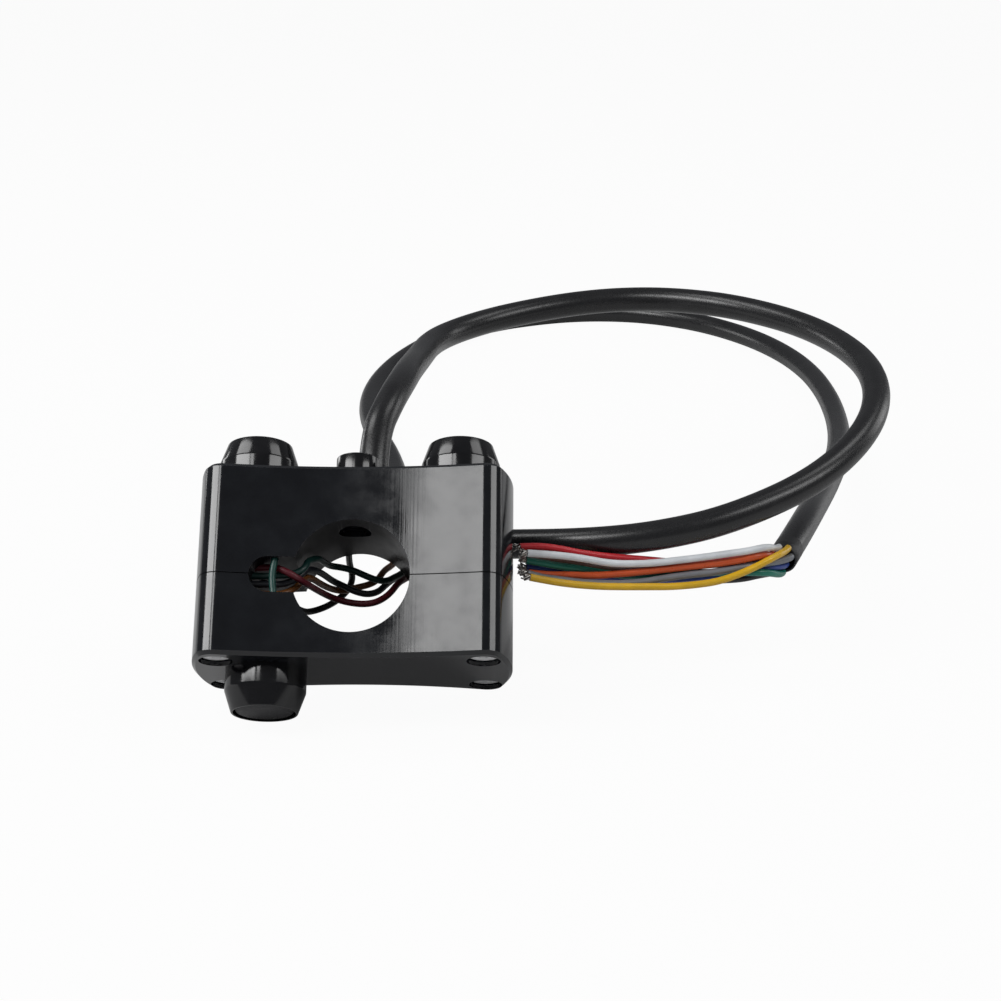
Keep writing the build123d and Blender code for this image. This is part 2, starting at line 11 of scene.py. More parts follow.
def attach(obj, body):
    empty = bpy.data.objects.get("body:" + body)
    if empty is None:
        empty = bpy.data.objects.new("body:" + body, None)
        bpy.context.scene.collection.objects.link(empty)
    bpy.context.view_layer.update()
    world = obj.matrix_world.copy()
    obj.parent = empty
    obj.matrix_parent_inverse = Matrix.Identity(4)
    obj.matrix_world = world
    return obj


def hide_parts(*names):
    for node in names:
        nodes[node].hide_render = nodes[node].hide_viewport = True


bl_info = {
    "name": "Handlebar Switch Cluster",
    "version": (1, 0, 0),
    "blender": (4, 5, 0),
    "location": "View3D > Sidebar > Switch Cluster",
    "description": "Dresses a handlebar clamp block with its buttons, cable and wires",
    "category": "Object",
}

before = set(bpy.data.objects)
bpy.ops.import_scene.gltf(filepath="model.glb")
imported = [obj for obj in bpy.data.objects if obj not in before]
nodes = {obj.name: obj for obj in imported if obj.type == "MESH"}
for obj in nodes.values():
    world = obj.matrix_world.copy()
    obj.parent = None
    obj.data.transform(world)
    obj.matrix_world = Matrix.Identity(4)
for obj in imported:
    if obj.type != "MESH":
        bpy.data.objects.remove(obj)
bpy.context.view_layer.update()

MM = 0.001
TABLE = -23.03 * MM

# the block leans back on its lower button, and its pieces are turned and bored square to it
LEAN_ANGLE = math.radians(51.4)
LEAN = Matrix.Rotation(LEAN_ANGLE, 4, "X")

# a face of the block is in the bore or the wire slot when its middle is within these, in metres;
# such faces take a darker, less shiny finish that paints the shade inside them
BORE_REACH = 0.0113
SLOT_REACH = 0.0192
SLOT_HALF = 0.0036
# and its normal's part along the bore is under this
SIDEWAYS = 0.5

# the block's second and third finish, after its body's: a lighter grey on the edge breaks that
# paints their highlight, and a darker, less shiny one that paints the shade in the bore and slot
EDGE_HIGHLIGHT_FINISH, BORE_SHADE_FINISH = 1, 2

# joining points of one place, flattening the solid's flat faces, and finding its edges
MERGE_DISTANCE = 2e-6
TURNED_MERGE_DISTANCE = 1e-7
FLAT_ANGLE = math.radians(0.15)
EDGE_ANGLE = math.radians(28)
FLAT_FACE_WEIGHT = 80

# turned pieces: steps in a rounded corner, and the angles past which an edge is sharp
CORNER_STEPS = 4
SLEEVE_STEPS = 96
BEZEL_SHARP = math.radians(25)
CAP_SHARP = math.radians(45)

# round wires: steps between two control points, and facets of a quarter of the section
WIRE_STEPS = 12
WIRE_FACETS = 6
SHEATH_FACETS = 12
STRAND_FACETS = 3

# how far the cable's closed end lies back from its cut, inside the hollow sleeve
HOLLOW_END = 0.004

# bare strands of a stripped wire, lengths in metres and the rest as shares or radians
TIP_STRANDS = 7
TIP_POINTS = 6
TIP_LENGTH = 0.0024
TIP_INSET = 0.0008
STRAND_RADIUS = 0.00016
STRAND_JITTER = (-0.3, 0.3)
STRAND_REACH = (0.75, 1.0)
STRAND_FRAY = (0.35, 0.75)
STRAND_TURN = 2.6
TWIST_SHARE = 0.45

# where the turned pieces start, in mm of the block's own axes, and up or down
LARGE_SEATS = {
    "left": ((-19.6, 22.0, -0.8), 1),
    "right": ((19.9, 22.0, -0.8), 1),
    "lower": ((-16.4, -15.8, -0.8), -1),
}
SMALL_SEAT = ((0.0, 22.0, 3.2), 1)

# the cable's control points in mm, heights over the table, from the grommet to the cut end
SHEATH_ROUTE = [
    (2.3, 19.66, 38.68), (2.3, 25.96, 46.58), (5.1, 35.8, 51.3), (6.8, 48.0, 52.2),
    (7.2, 62.0, 50.8), (7.8, 84.0, 47.6), (9.6, 108.3, 45.8), (16.4, 120.9, 46.1),
    (27.2, 130.8, 47.0), (43.3, 138.0, 48.4), (57.2, 139.3, 49.3), (70.6, 136.1, 49.7),
    (85.0, 127.2, 49.7), (99.9, 109.6, 48.9), (108.6, 87.4, 47.0), (109.6, 68.0, 44.0),
    (104.2, 50.2, 39.7), (91.7, 33.6, 34.5), (73.4, 21.7, 30.3), (58.7, 17.9, 28.1),
    (44.7, 18.9, 26.3), (27.8, 26.0, 23.6), (13.2, 36.2, 20.1), (4.9, 46.4, 17.2),
    (0.2, 60.5, 13.8), (-1.6, 81.4, 9.2), (-0.7, 105.1, 5.9), (-0.5, 129.1, 4.1),
    (-3.9, 152.9, 3.4), (-9.4, 176.1, 3.2), (-13.5, 199.8, 3.3), (-14.0, 223.7, 3.2),
    (-11.0, 247.5, 3.2), (-4.7, 270.6, 3.3), (4.9, 292.7, 3.2), (19.4, 311.7, 3.3),
    (37.2, 323.0, 3.2), (50.9, 326.8, 3.2), (64.8, 326.0, 3.2), (77.7, 320.6, 3.2),
    (91.2, 308.9, 3.3), (104.4, 289.0, 3.3), (113.1, 266.7, 3.2), (117.8, 243.2, 3.2),
    (119.3, 219.2, 3.2), (118.7, 195.2, 3.7), (116.5, 171.4, 5.1), (113.0, 147.6, 7.2),
    (108.5, 124.2, 9.7), (103.5, 100.9, 12.7), (98.3, 77.9, 16.1), (93.4, 56.7, 19.2),
    (89.3, 41.8, 20.1), (84.8, 28.7, 19.5),
]

# the bore wires' control points in mm of the block's own axes, from port to port
JUMPER_ROUTES = {
    "green": [
        (-20.00, 1.00, 6.40), (-16.21, 1.02, 6.30), (-14.00, 1.25, 5.85), (-11.41, 1.52, 5.74),
        (-9.79, 2.41, 5.39), (-9.01, 3.59, 4.75), (-8.86, 5.02, 3.45), (-7.26, 6.49, 0.96),
        (-6.50, 6.96, -2.85), (-5.70, 7.46, -6.63), (-3.75, 7.69, -8.06), (-1.27, 7.06, -8.01),
        (1.08, 6.01, -8.20), (3.20, 5.25, -8.60), (5.25, 5.27, -9.62), (6.72, 6.76, -11.37),
        (8.89, 8.73, -13.62), (10.41, 10.11, -15.20), (12.22, 11.75, -15.06),
        (13.50, 12.91, -13.34), (13.60, 13.00, -10.90), (13.60, 13.00, -8.60),
    ],
    "blue": [
        (-20.00, -0.70, 6.40), (-16.20, -0.52, 5.99), (-13.92, -0.30, 5.01), (-12.07, 0.40, 4.42),
        (-10.43, 1.56, 4.03), (-9.04, 3.54, 2.96), (-7.62, 4.26, 0.06), (-6.56, 4.83, -4.00),
        (-5.19, 4.72, -7.69), (-2.92, 4.07, -9.20), (-0.60, 3.02, -9.50), (1.69, 2.63, -9.80),
        (3.74, 3.35, -10.24), (5.14, 5.45, -11.63), (7.41, 8.42, -14.89), (8.62, 10.01, -16.39),
        (10.02, 11.85, -16.26), (11.04, 13.19, -14.66), (11.20, 13.40, -12.30),
        (11.20, 13.40, -8.60),
    ],
    "orange": [
        (-20.00, -2.30, 6.40), (-16.20, -2.54, 6.00), (-13.89, -2.24, 4.98),
        (-11.96, -1.12, 3.68), (-10.45, 0.28, 2.88), (-9.64, 2.44, 1.65), (-8.46, 3.00, -0.81),
        (-7.07, 3.06, -4.73), (-5.54, 3.59, -9.34), (-3.26, 3.62, -10.72), (-0.86, 4.53, -11.30),
        (1.73, 5.11, -11.20), (3.38, 6.25, -11.60), (4.40, 8.65, -13.00), (5.64, 10.56, -15.63),
        (6.63, 12.10, -16.89), (7.76, 13.84, -16.79), (8.63, 15.19, -15.45),
        (8.90, 15.60, -13.30), (8.90, 15.60, -8.60),
    ],
    "red": [
        (-20.00, 2.60, 6.40), (-16.60, 2.64, 6.51), (-14.39, 2.42, 7.25), (-12.32, 1.47, 7.55),
        (-10.61, 0.60, 6.90), (-9.27, 0.23, 5.03), (-7.94, 0.36, 1.40), (-6.26, 0.43, -2.60),
        (-4.19, 0.17, -5.20), (-1.30, -0.34, -6.00), (1.43, -0.54, -6.20), (3.91, 0.08, -6.60),
        (6.10, 2.09, -7.80), (7.55, 5.09, -9.80), (8.66, 6.32, -11.40), (9.96, 7.76, -12.71),
        (11.38, 9.32, -12.59), (12.41, 10.46, -11.35), (12.80, 10.90, -10.00),
        (12.80, 10.90, -8.60),
    ],
    "black": [
        (-2.80, 16.80, -8.60), (-2.80, 16.80, -11.30), (-2.80, 16.66, -13.74),
        (-2.85, 14.94, -15.46), (-2.93, 12.50, -15.60), (-2.55, 10.29, -14.80),
        (-1.98, 8.46, -13.80), (-1.86, 6.45, -13.20), (-2.67, 4.39, -12.80),
        (-4.51, 2.41, -12.60), (-6.61, 1.07, -12.60), (-8.98, 0.30, -13.00),
        (-11.27, 0.40, -14.40), (-14.17, 2.60, -16.40), (-16.12, 4.07, -16.26),
        (-17.49, 5.11, -14.54), (-17.60, 5.20, -12.10), (-17.60, 5.20, -8.60),
    ],
}

SLOT_ROUTE = [
    (-14.40, 5.00, 9.00), (-14.40, 3.40, 9.00), (-14.80, 1.20, 9.00), (-14.80, -1.20, 8.90),
    (-14.40, -3.40, 9.00), (-14.40, -5.00, 9.00),
]

# the stripped wires' control points in mm, heights over the table, from the cable to the tip
LEAD_ROUTES = {
    "white": [
        (84.08, 28.83, 22.04), (83.65, 27.78, 21.98), (80.80, 21.44, 24.68),
        (76.82, 19.95, 24.27), (73.19, 18.77, 24.21), (68.17, 17.52, 23.87),
        (62.92, 16.25, 23.68), (57.91, 14.95, 23.52), (52.70, 13.73, 23.75),
        (48.52, 12.65, 24.35), (44.37, 11.79, 25.50), (40.25, 10.90, 26.44),
        (35.95, 10.01, 27.16), (32.85, 9.12, 27.67),
    ],
    "orange": [
        (84.79, 28.67, 20.30), (84.29, 28.19, 20.20), (80.00, 20.93, 23.14),
        (76.20, 19.74, 22.61), (71.62, 18.61, 22.23), (67.23, 17.58, 22.09),
        (62.98, 16.55, 21.99), (58.75, 15.48, 21.86), (54.54, 14.39, 21.83),
        (50.36, 13.30, 21.79), (46.00, 12.32, 21.80), (41.01, 11.65, 22.21),
        (36.46, 10.91, 22.48), (33.18, 10.21, 23.20),
    ],
    "grey": [
        (86.50, 28.08, 20.25), (86.12, 26.67, 20.11), (77.49, 20.20, 21.06),
        (74.09, 19.06, 20.85), (69.60, 17.78, 20.51), (65.20, 16.63, 20.50),
        (60.05, 15.36, 20.22), (55.75, 14.05, 19.85), (51.54, 12.86, 19.96),
        (47.34, 11.73, 20.39), (43.02, 10.66, 21.02), (38.93, 9.78, 21.97), (35.42, 9.04, 22.63),
        (32.86, 8.60, 23.71),
    ],
    "yellow": [
        (85.84, 28.23, 22.03), (85.45, 26.87, 22.00), (82.50, 21.52, 22.56),
        (78.86, 19.40, 21.34), (75.16, 17.67, 20.25), (70.85, 16.23, 19.18),
        (66.37, 15.06, 18.93), (61.52, 13.85, 18.96), (57.10, 12.66, 19.39),
        (52.13, 11.36, 19.86), (47.19, 10.05, 20.41), (42.28, 8.88, 21.21), (37.77, 7.90, 22.20),
        (33.46, 7.10, 23.39),
    ],
    "red": [
        (83.07, 29.26, 20.27), (82.58, 28.49, 20.19), (79.89, 23.55, 22.77),
        (76.36, 21.96, 22.26), (71.78, 20.45, 21.80), (66.93, 19.15, 21.94),
        (62.05, 17.95, 22.57), (57.19, 16.81, 23.50), (51.96, 15.63, 24.34),
        (47.37, 14.51, 25.16), (43.02, 13.53, 26.14), (38.89, 12.72, 27.36),
        (34.78, 11.89, 28.16), (31.48, 10.95, 28.27),
    ],
    "brown": [
        (83.82, 29.08, 18.64), (83.35, 28.20, 18.50), (80.28, 24.66, 20.58),
        (76.33, 23.12, 20.57), (71.45, 21.74, 20.90), (66.57, 20.35, 20.96),
        (61.29, 18.98, 21.04), (55.43, 17.68, 21.21), (51.21, 16.58, 21.59),
        (47.40, 15.65, 22.29), (43.02, 14.78, 23.42), (38.88, 13.86, 24.44),
        (35.35, 12.94, 25.13), (32.81, 12.07, 25.65),
    ],
    "green": [
        (85.07, 28.73, 16.77), (84.69, 26.91, 16.68), (81.15, 21.54, 19.13),
        (76.92, 20.68, 19.46), (71.82, 19.78, 19.82), (66.58, 18.73, 20.13),
        (61.70, 17.54, 20.36), (56.48, 16.19, 20.38), (51.29, 14.99, 20.90),
        (46.47, 14.02, 21.90), (42.66, 13.17, 23.02), (39.31, 12.22, 23.80),
        (35.98, 11.35, 24.77), (32.65, 10.50, 25.68),
    ],
    "blue": [
        (85.59, 28.48, 18.49), (85.15, 27.32, 18.47), (81.91, 24.38, 19.35),
        (77.50, 22.62, 19.00), (72.40, 21.04, 18.66), (67.51, 19.63, 18.37),
        (62.41, 18.43, 18.54), (57.31, 17.37, 19.05), (52.22, 16.28, 19.59),
        (47.20, 15.19, 20.44), (42.89, 14.15, 21.46), (38.97, 13.18, 22.39),
        (35.41, 12.32, 23.13), (32.63, 11.56, 23.80),
    ],
    "black": [
        (83.39, 29.30, 16.89), (82.96, 28.47, 16.59), (79.87, 23.78, 17.86),
        (76.05, 22.79, 17.31), (71.56, 21.86, 17.41), (66.69, 20.75, 17.47),
        (61.39, 19.46, 17.59), (56.33, 18.12, 17.72), (51.26, 16.90, 18.17),
        (46.40, 15.96, 19.33), (42.01, 15.10, 20.48), (38.45, 14.24, 21.32),
        (34.92, 13.41, 22.03), (32.40, 12.60, 22.65),
    ],
}

LEAD_COLOURS = {
    "white": (0.80, 0.83, 0.86),
    "orange": (0.66, 0.10, 0.025),
    "grey": (0.22, 0.23, 0.25),
    "yellow": (0.80, 0.47, 0.015),
    "red": (0.60, 0.02, 0.03),
    "brown": (0.10, 0.045, 0.03),
    "green": (0.01, 0.20, 0.14),
    "blue": (0.05, 0.09, 0.36),
    "black": (0.016, 0.016, 0.018),
}
JUMPER_COLOURS = {
    "red": (0.11, 0.008, 0.016),
    "blue": (0.014, 0.016, 0.021),
    "green": (0.006, 0.040, 0.034),
    "orange": (0.20, 0.068, 0.012),
    "black": (0.012, 0.012, 0.014),
    "slot green": (0.003, 0.055, 0.044),
}


# ---------------------------------------------------------------- helpers


def finish_piece(name, shape, finish, body, *cad_nodes, slot=None):
    """Turns a bmesh into an object at the origin that rides on a body."""
    mesh = bpy.data.meshes.new(name)
    shape.to_mesh(mesh)
    shape.free()
    piece = bpy.data.objects.new(name, mesh)
    bpy.context.scene.collection.objects.link(piece)
    mesh.materials.append(finish)
    mesh.shade_smooth()
    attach(piece, body)
    if cad_nodes:
        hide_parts(*cad_nodes)
    return piece


def seat_matrix(seat):
    """Place of a turned piece: its Z along the outward push axis, in metres."""
    place, sense = seat
    turn = Matrix.Rotation(math.radians(-90 * sense), 4, "X")
    return LEAN @ Matrix.Translation(Vector(place) * MM) @ turn


def turned(profile, breaks, steps):
    """Spins a profile of (radius, height) points in mm; breaks rounds some of its corners."""
    shape = bmesh.new()
    verts = [shape.verts.new((r * MM, 0, h * MM)) for r, h in profile]
    for start, end in zip(verts, verts[1:]):
        shape.edges.new((start, end))
    for vert, radius in [(verts[i], r) for i, r in breaks.items()]:
        bmesh.ops.bevel(
            shape, geom=[vert], offset=radius * MM, offset_type="OFFSET",
            segments=CORNER_STEPS, profile=0.5, affect="VERTICES", material=-1,
        )
    bmesh.ops.spin(
        shape, geom=shape.verts[:] + shape.edges[:], axis=(0, 0, 1), cent=(0, 0, 0),
        steps=steps, angle=math.tau, use_merge=True,
    )
    bmesh.ops.remove_doubles(shape, verts=shape.verts[:], dist=TURNED_MERGE_DISTANCE)
    bmesh.ops.recalc_face_normals(shape, faces=shape.faces[:])
    return shape


def sharpen(piece, angle):
    """Keeps edges past the angle crisp under smooth shading."""
    shape = bmesh.new()
    shape.from_mesh(piece.data)
    for edge in shape.edges:
        if len(edge.link_faces) == 2 and edge.calc_face_angle(0) > angle:
            edge.smooth = False
    shape.to_mesh(piece.data)
    shape.free()


def wire_curve(name, points, radius, body, finish):
    """A smooth round wire; its points carry the radius, so that the curve's box is true."""
    curve = bpy.data.curves.new(name, "CURVE")
    curve.dimensions = "3D"
    curve.bevel_depth = 1
    curve.bevel_resolution = WIRE_FACETS
    curve.use_fill_caps = True
    curve.resolution_u = WIRE_STEPS
    line = curve.splines.new("NURBS")
    line.points.add(len(points) - 1)
    for spot, point in zip(line.points, points):
        spot.co = (*point, 1)
        spot.radius = radius
    line.order_u = 3
    line.use_endpoint_u = True
    curve.materials.append(finish)
    piece = bpy.data.objects.new(name, curve)
    bpy.context.scene.collection.objects.link(piece)
    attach(piece, body)
    return piece


def leaned(points):
    """From mm in the block's own axes to metres in the frame."""
    return [tuple(LEAN @ (Vector(point) * MM)) for point in points]


def over_table(points):
    """From mm with heights over the table to metres in the frame."""
    return [(x * MM, y * MM, TABLE + height * MM) for x, y, height in points]


# ---------------------------------------------------------------- node groups


def new_group(name, inputs, outputs):
    """An empty node group with its sockets, and its two end nodes."""
    group = bpy.data.node_groups.new(name, "ShaderNodeTree")
    for label, kind, value in inputs:
        socket = group.interface.new_socket(label, in_out="INPUT", socket_type=kind)
        if value is not None:
            socket.default_value = value
    for label, kind in outputs:
        group.interface.new_socket(label, in_out="OUTPUT", socket_type=kind)
    return group, group.nodes.new("NodeGroupInput"), group.nodes.new("NodeGroupOutput")


def add_node(tree, kind, **values):
    """A node with its sockets, or else its settings, given by name."""
    node = tree.nodes.new(kind)
    for key, value in values.items():
        if key in node.inputs:
            node.inputs[key].default_value = value
        else:
            setattr(node, key, value)
    return node


def machined_lines_group():
    """Fine parallel tool lines along the group's own Y direction, and cloudy handling marks."""
    group, given, out = new_group(
        "machined lines",
        [
            ("Vector", "NodeSocketVector", None),
            ("Fineness", "NodeSocketFloat", 2600.0),
            ("Run", "NodeSocketFloat", 12.0),
            ("Cloud Size", "NodeSocketFloat", 160.0),
        ],
        [("Lines", "NodeSocketFloat"), ("Cloud", "NodeSocketFloat")],
    )
    combine = add_node(group, "ShaderNodeCombineXYZ")
    for axis, label in (("X", "Fineness"), ("Y", "Run"), ("Z", "Fineness")):
        group.links.new(given.outputs[label], combine.inputs[axis])
    stretch = add_node(group, "ShaderNodeVectorMath", operation="MULTIPLY")
    group.links.new(given.outputs["Vector"], stretch.inputs[0])
    group.links.new(combine.outputs[0], stretch.inputs[1])
    lines = add_node(group, "ShaderNodeTexNoise", Scale=1.0, Detail=2.0, Roughness=0.6)
    group.links.new(stretch.outputs[0], lines.inputs["Vector"])
    cloud = add_node(group, "ShaderNodeTexNoise", Detail=6.0, Roughness=0.62)
    group.links.new(given.outputs["Vector"], cloud.inputs["Vector"])
    group.links.new(given.outputs["Cloud Size"], cloud.inputs["Scale"])
    group.links.new(lines.outputs[0], out.inputs["Lines"])
    group.links.new(cloud.outputs[0], out.inputs["Cloud"])
    return group


def grain_group():
    """Fine even grain."""
    group, given, out = new_group(
        "fine grain",
        [("Vector", "NodeSocketVector", None), ("Grain Scale", "NodeSocketFloat", 2500.0)],
        [("Grain", "NodeSocketFloat")],
    )
    grain = add_node(group, "ShaderNodeTexNoise", Detail=3.0, Roughness=0.65)
    group.links.new(given.outputs["Vector"], grain.inputs["Vector"])
    group.links.new(given.outputs["Grain Scale"], grain.inputs["Scale"])
    group.links.new(grain.outputs[0], out.inputs["Grain"])
    return group


GROUP_MAKERS = {"machined lines": machined_lines_group, "fine grain": grain_group}
GROUPS = {}


def group_node(tree, name, vector):
    """Places a shared group, built when it is first asked for, over a pattern's coordinates."""
    if name not in GROUPS:
        GROUPS[name] = GROUP_MAKERS[name]()
    node = tree.nodes.new("ShaderNodeGroup")
    node.node_tree = GROUPS[name]
    tree.links.new(vector, node.inputs["Vector"])
    return node


def object_vector(tree, leaning):
    """Object coordinates, turned square to the leaning block where asked."""
    where = add_node(tree, "ShaderNodeTexCoord")
    place = add_node(tree, "ShaderNodeMapping")
    place.inputs["Rotation"].default_value = (-LEAN_ANGLE, 0, 0) if leaning else (0, 0, 0)
    tree.links.new(where.outputs["Object"], place.inputs["Vector"])
    return place.outputs["Vector"]


# the span in which nearly all of a noise value lies
NOISE_LOW, NOISE_HIGH = 0.35, 0.65

# a Mix node repeats its socket names for each data type, so its colour sockets go by number
MIX_COLOUR_A, MIX_COLOUR_B, MIX_COLOUR_OUT = 6, 7, 2


def remap(tree, source, low, high):
    """Maps a noise value from its usual span to low..high."""
    node = add_node(tree, "ShaderNodeMapRange")
    node.inputs["From Min"].default_value = NOISE_LOW
    node.inputs["From Max"].default_value = NOISE_HIGH
    node.inputs["To Min"].default_value = low
    node.inputs["To Max"].default_value = high
    tree.links.new(source, node.inputs["Value"])
    return node.outputs["Result"]


def tone(tree, source, dark, light):
    """Mixes two colours by a noise value."""
    node = add_node(tree, "ShaderNodeMix", data_type="RGBA")
    tree.links.new(remap(tree, source, 0, 1), node.inputs["Factor"])
    node.inputs[MIX_COLOUR_A].default_value = (*dark, 1)
    node.inputs[MIX_COLOUR_B].default_value = (*light, 1)
    return node.outputs[MIX_COLOUR_OUT]


def bump(tree, source, strength, distance, normal=None):
    """A bump of a height in metres, laid over another normal where one is given."""
    node = add_node(tree, "ShaderNodeBump", Strength=strength, Distance=distance)
    tree.links.new(source, node.inputs["Height"])
    if normal:
        tree.links.new(normal, node.inputs["Normal"])
    return node.outputs["Normal"]


# ---------------------------------------------------------------- finishes

# strength of the grain on metal, and heights of the bumps in metres
METAL_GRAIN_BUMP = 0.03
METAL_BUMP_HEIGHT = 0.00002
RUBBER_BUMP_HEIGHT = 0.00003

# how far a roughness goes below and above its middle
METAL_ROUGH_SPAN = (-0.04, 0.05)
RUBBER_ROUGH_SPAN = (-0.05, 0.06)

# wire insulation: its darker tone's share of its colour, and its roughness
WIRE_SHADE = 0.82
LEAD_ROUGH = 0.32
JUMPER_ROUGH = 0.42


def new_material(name, **values):
    """A material, with its Principled shader's sockets given by name."""
    material = bpy.data.materials.new(name)
    material.use_nodes = True
    tree = material.node_tree
    shader = tree.nodes["Principled BSDF"]
    for key, value in values.items():
        shader.inputs[key.replace("_", " ")].default_value = value
    return material, tree, shader


def spread(rough, span):
    """The ends of a roughness that varies about its middle."""
    below, above = span
    return rough + below, rough + above


def machined_metal(
    name, dark, light, rough, line_bump, leaning=True, metallic=0.0, specular=0.5,
):
    """Dyed aluminium, steel or brass: fine tool lines, a faint grain and handling marks."""
    material, tree, shader = new_material(
        name, Metallic=metallic, Specular_IOR_Level=specular,
    )
    vector = object_vector(tree, leaning)
    lines = group_node(tree, "machined lines", vector)
    grain = group_node(tree, "fine grain", vector)
    cloud = lines.outputs["Cloud"]
    tree.links.new(tone(tree, cloud, dark, light), shader.inputs["Base Color"])
    low, high = spread(rough, METAL_ROUGH_SPAN)
    tree.links.new(remap(tree, cloud, low, high), shader.inputs["Roughness"])
    fine = bump(tree, grain.outputs["Grain"], METAL_GRAIN_BUMP, METAL_BUMP_HEIGHT)
    normal = bump(tree, lines.outputs["Lines"], line_bump, METAL_BUMP_HEIGHT, fine)
    tree.links.new(normal, shader.inputs["Normal"])
    return material


def rubber_like(name, dark, light, rough, grain_bump=0.15, grain_scale=2500.0, leaning=False):
    """Moulded rubber or soft plastic: a fine grain and a cloudy tone."""
    material, tree, shader = new_material(name)
    vector = object_vector(tree, leaning)
    lines = group_node(tree, "machined lines", vector)
    grain = group_node(tree, "fine grain", vector)
    grain.inputs["Grain Scale"].default_value = grain_scale
    tree.links.new(tone(tree, lines.outputs["Cloud"], dark, light), shader.inputs["Base Color"])
    low, high = spread(rough, RUBBER_ROUGH_SPAN)
    tree.links.new(remap(tree, grain.outputs["Grain"], low, high), shader.inputs["Roughness"])
    normal = bump(tree, grain.outputs["Grain"], grain_bump, RUBBER_BUMP_HEIGHT)
    tree.links.new(normal, shader.inputs["Normal"])
    return material


def insulation(name, colour, rough):
    """Thin coloured wire insulation, a little uneven."""
    dark = tuple(value * WIRE_SHADE for value in colour)
    return rubber_like(name, dark, colour, rough, grain_bump=0.06, grain_scale=1800.0)


METALS = {
    "dyed block": {
        "dark": (0.0045, 0.005, 0.0065), "light": (0.007, 0.008, 0.010), "rough": 0.115,
        "line_bump": 0.2,
    },
    # a lighter grey for the edge breaks: a painted highlight along the block's edges
    "block edge": {
        "dark": (0.08, 0.08, 0.085), "light": (0.13, 0.13, 0.135), "rough": 0.22,
        "line_bump": 0.05,
    },
    # darker and far less shiny than the block: painted shade on the walls of the bore and slot
    "bore wall": {
        "dark": (0.003, 0.003, 0.004), "light": (0.005, 0.005, 0.006), "rough": 0.38,
        "line_bump": 0.05, "specular": 0.12,
    },
    "turned black": {
        "dark": (0.004, 0.004, 0.005), "light": (0.007, 0.007, 0.008), "rough": 0.12,
        "line_bump": 0.03,
    },
    # near-white and matte rather than metallic: a painted reflection, so the steel heads show
    # bright in their shaded counterbores
    "screw steel": {
        "dark": (0.80, 0.80, 0.80), "light": (0.92, 0.92, 0.93), "rough": 0.35,
        "line_bump": 0.1, "metallic": 0.1,
    },
    "spring steel": {
        "dark": (0.30, 0.30, 0.31), "light": (0.48, 0.48, 0.50), "rough": 0.28,
        "line_bump": 0.12, "metallic": 1.0,
    },
    "washer steel": {
        "dark": (0.22, 0.22, 0.23), "light": (0.34, 0.34, 0.35), "rough": 0.32,
        "line_bump": 0.12, "metallic": 0.3,
    },
    "contact brass": {
        "dark": (0.48, 0.33, 0.12), "light": (0.62, 0.45, 0.18), "rough": 0.28,
        "line_bump": 0.12, "metallic": 1.0,
    },
    "tinned copper": {
        "dark": (0.42, 0.40, 0.38), "light": (0.62, 0.60, 0.57), "rough": 0.25,
        "line_bump": 0.12, "metallic": 1.0, "leaning": False,
    },
}
RUBBERS = {
    "matte plunger": {
        "dark": (0.014, 0.014, 0.016), "light": (0.020, 0.020, 0.022), "rough": 0.52,
        "leaning": True,
    },
    "switch case": {
        "dark": (0.010, 0.010, 0.011), "light": (0.018, 0.018, 0.019), "rough": 0.5,
        "leaning": True,
    },
    "seal rubber": {
        "dark": (0.008, 0.008, 0.008), "light": (0.014, 0.014, 0.014), "rough": 0.6,
        "leaning": True,
    },
    "grommet rubber": {
        "dark": (0.006, 0.006, 0.007), "light": (0.010, 0.010, 0.011), "rough": 0.42,
        "leaning": True,
    },
    "cable sheath": {
        "dark": (0.009, 0.009, 0.010), "light": (0.014, 0.014, 0.015), "rough": 0.30,
        "grain_bump": 0.04,
    },
    "cut sheath": {
        "dark": (0.012, 0.012, 0.013), "light": (0.022, 0.022, 0.024), "rough": 0.5,
        "grain_bump": 0.3,
    },
}
MATERIALS = {}


def material(name):
    """Each finish is built once, when a piece first asks for it."""
    if name not in MATERIALS:
        colour, _, kind = name.rpartition(" ")
        if name in METALS:
            MATERIALS[name] = machined_metal(name, **METALS[name])
        elif name in RUBBERS:
            MATERIALS[name] = rubber_like(name, **RUBBERS[name])
        elif kind == "lead":
            MATERIALS[name] = insulation(name, LEAD_COLOURS[colour], LEAD_ROUGH)
        else:
            MATERIALS[name] = insulation(name, JUMPER_COLOURS[colour], JUMPER_ROUGH)
    return MATERIALS[name]


def dress(node, finish):
    """Gives a CAD node its finish."""
    piece = nodes[node]
    piece.data.materials.clear()
    piece.data.materials.append(material(finish))


# ---------------------------------------------------------------- sizes


class ClusterBlockSizes(bpy.types.PropertyGroup):
    # the break's faces take a lighter grey, which paints the highlight along the block's edges
    edge_break: FloatProperty(
        name="Edge break", description="Width of the polished break on the block's edges",
        default=0.0003, unit="LENGTH",
    )
    edge_steps: IntProperty(name="Edge steps", description="Segments of the edge break", default=2)


class ClusterButtonSizes(bpy.types.PropertyGroup):
    ring_radius: FloatProperty(
        name="Ring radius", description="Outer radius of a large button's ring",
        default=0.0077, unit="LENGTH",
    )
    steps: IntProperty(name="Turning steps", description="Facets round a turned piece", default=128)


class ClusterCableSizes(bpy.types.PropertyGroup):
    sheath_radius: FloatProperty(
        name="Sheath radius", description="Radius of the round cable", default=0.003, unit="LENGTH",
    )
    lead_radius: FloatProperty(
        name="Lead radius", description="Radius of a stripped wire", default=0.00072, unit="LENGTH",
    )
    jumper_radius: FloatProperty(
        name="Jumper radius", description="Radius of a wire across the bore",
        default=0.00065, unit="LENGTH",
    )


class ClusterStageSizes(bpy.types.PropertyGroup):
    floor_colour: FloatVectorProperty(
        name="Floor colour", description="Colour of the pale floor", subtype="COLOR",
        default=(0.58, 0.58, 0.58),
    )
    key_power: FloatProperty(
        name="Key power", description="Power of the main panel light", default=6.5, unit="POWER",
    )


# ---------------------------------------------------------------- pieces


